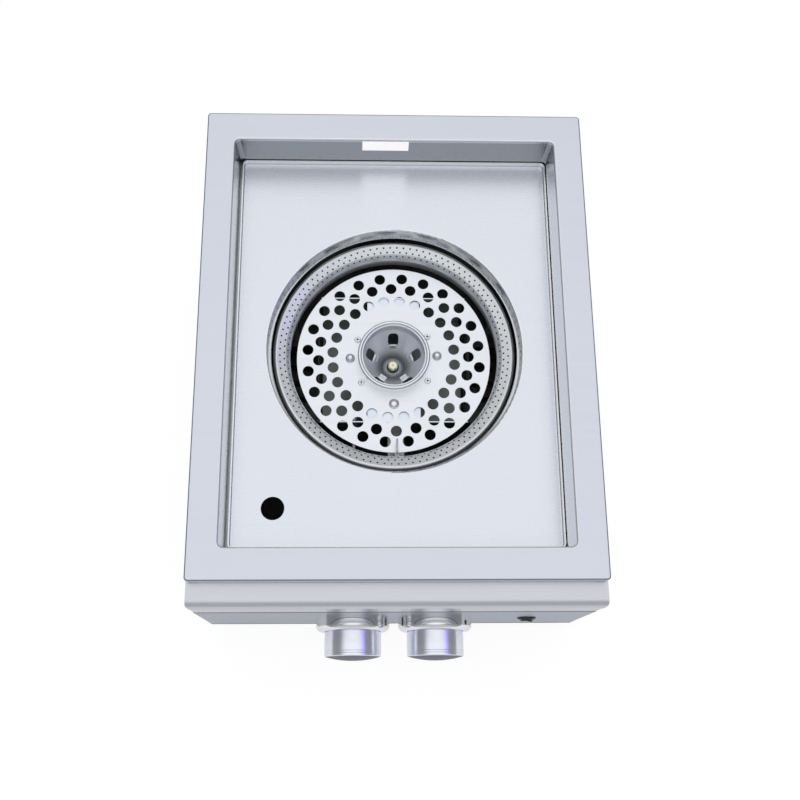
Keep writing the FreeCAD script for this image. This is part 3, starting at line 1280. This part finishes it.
def make_ignition_lead():
    """The lead inside the housing from the igniter to the foot of the electrode."""
    start = Vector(piezo_x(), VALVE_FRONT + PIEZO_LENGTH, KNOB_Z)
    foot = Vector(ELECTRODE_X, ELECTRODE_Y, -CERAMIC_TOP_DROP - CERAMIC_LENGTH)
    route = [start, start + Vector(0, 36, 0), start + Vector(11, 71, -23),
             foot + Vector(-34, -23, -47), foot + Vector(0, 0, -40), foot]
    return tube(route, LEAD_RADIUS)


def switch_pivot():
    return Vector(SWITCH_X, PANEL_FACE + ROCKER_PIVOT_DEPTH, KNOB_Z)


def make_switch_housing():
    """The round switch body through the panel, with two terminals behind."""
    back = PANEL_FACE + SWITCH_BODY_DEPTH
    front = PANEL_FACE - SWITCH_FLANGE
    bore = ROCKER_RADIUS + ROCKER_GAP
    body = spin_y([
        (0, back), (SWITCH_BODY_RADIUS, back), (SWITCH_BODY_RADIUS, PANEL_FACE),
        (SWITCH_RADIUS, PANEL_FACE), (SWITCH_RADIUS, front + 1), (SWITCH_RADIUS - 1, front),
        (bore, front), (bore, back - 1.5), (0, back - 1.5),
    ], SWITCH_X, KNOB_Z)
    pivot = switch_pivot()
    pin_reach = Z_AXIS * (SWITCH_BODY_RADIUS - 0.1)
    pin_hole = rod(ROCKER_PIN_RADIUS + STEM_CLEARANCE, pivot - pin_reach, pivot + pin_reach)
    terminals = [block(SWITCH_X - 0.4 + side * 4, SWITCH_X + 0.4 + side * 4, back, back + 8,
                       KNOB_Z - 3.1, KNOB_Z + 3.1) for side in (-1, 1)]
    return join([body] + terminals).cut(pin_hole)


def make_switch_rocker():
    """The rocking cap: two faces that meet in a shallow valley, tilted to its off side."""
    pivot = switch_pivot()
    ball = Part.makeSphere(ROCKER_RADIUS, pivot)
    behind = block(SWITCH_X - 20, SWITCH_X + 20, pivot.y + 5, pivot.y + 20, KNOB_Z - 20, KNOB_Z + 20)
    cap = ball.cut(behind)
    for side in (-1, 1):
        front = block(-20, 20, -40, -ROCKER_REACH, -20, 20)
        front.rotate(ORIGIN, Z_AXIS, side * ROCKER_TILT)
        front = front.common(block(min(0, -side * 30), max(0, -side * 30), -60, 20, -20, 20))
        front.translate(pivot)
        cap = cap.cut(front)
    pin_reach = Z_AXIS * (SWITCH_BODY_RADIUS - 0.3)
    cap = join([cap, rod(ROCKER_PIN_RADIUS, pivot - pin_reach, pivot + pin_reach)])
    cap.rotate(pivot, Z_AXIS, -ROCKER_TILT)
    return cap


def save(name, shape):
    """Move a sub-part to the final frame and write it."""
    placed = shape.copy()
    placed.translate(TO_BASE)
    placed.exportStep("parts/" + name + ".step")
    solids = placed.Solids
    volume = sum(solid.Volume for solid in solids)
    print("%-20s solids %d valid %s volume %.1f" % (name, len(solids), placed.isValid(), volume))


def main():
    os.makedirs("parts", exist_ok=True)
    save("top_frame", make_top_frame())
    save("well_walls", make_well_walls())
    save("pan_rests", make_pan_rests())
    save("drip_pan", make_drip_pan())
    save("side_panel_left", make_side_panel(-1))
    save("side_panel_right", make_side_panel(1))
    save("back_panel", make_back_panel())
    save("base_panel", make_base_panel())
    save("front_fascia", make_front_fascia())
    save("control_panel", make_control_panel())
    save("ring_head", make_ring_head())
    save("ring_base", make_ring_base())
    save("ring_legs", make_ring_legs())
    save("perforated_plate", make_perforated_plate())
    save("burner_cup", make_burner_cup())
    save("cup_collar", make_cup_collar())
    save("cup_washer", make_cup_washer())
    save("cup_screws", make_cup_screws())
    save("support_posts", make_support_posts())
    save("plate_stud", make_plate_stud())
    save("burner_box", make_burner_box())
    save("rail_front", make_rail(-1))
    save("rail_rear", make_rail(1))
    save("rail_screws", make_rail_screws())
    save("jet_block", make_jet_block())
    save("centre_jet", make_centre_jet())
    save("centre_feed_tube", make_centre_feed())
    save("ring_venturi", make_ring_venturi())
    save("air_shutter", make_air_shutter())
    save("ring_spud", make_ring_spud())
    save("manifold_pipe", make_manifold())
    save("supply_pipe", make_supply_pipe())
    save("inlet_fitting", make_inlet_fitting())
    save("valve_screws", make_valve_screws())
    for side, x in KNOB_PLACES.items():
        save("valve_body_" + side, make_valve_body(x))
        save("valve_cover_" + side, make_valve_cover(x))
        save("valve_plug_" + side, make_valve_plug(x))
        save("valve_stem_" + side, make_valve_stem(x))
        save("stem_spring_" + side, make_stem_spring(x))
        save("knob_" + side, make_knob(x))
        save("bezel_" + side, make_bezel(x))
        save("led_ring_" + side, make_led_ring(x))
    save("electrode_bracket", make_electrode_bracket())
    save("electrode_ceramic", make_electrode_ceramic())
    save("spark_wire", make_spark_wire())
    save("piezo_igniter", make_piezo_igniter())
    save("ignition_lead", make_ignition_lead())
    save("switch_housing", make_switch_housing())
    save("switch_rocker", make_switch_rocker())


main()
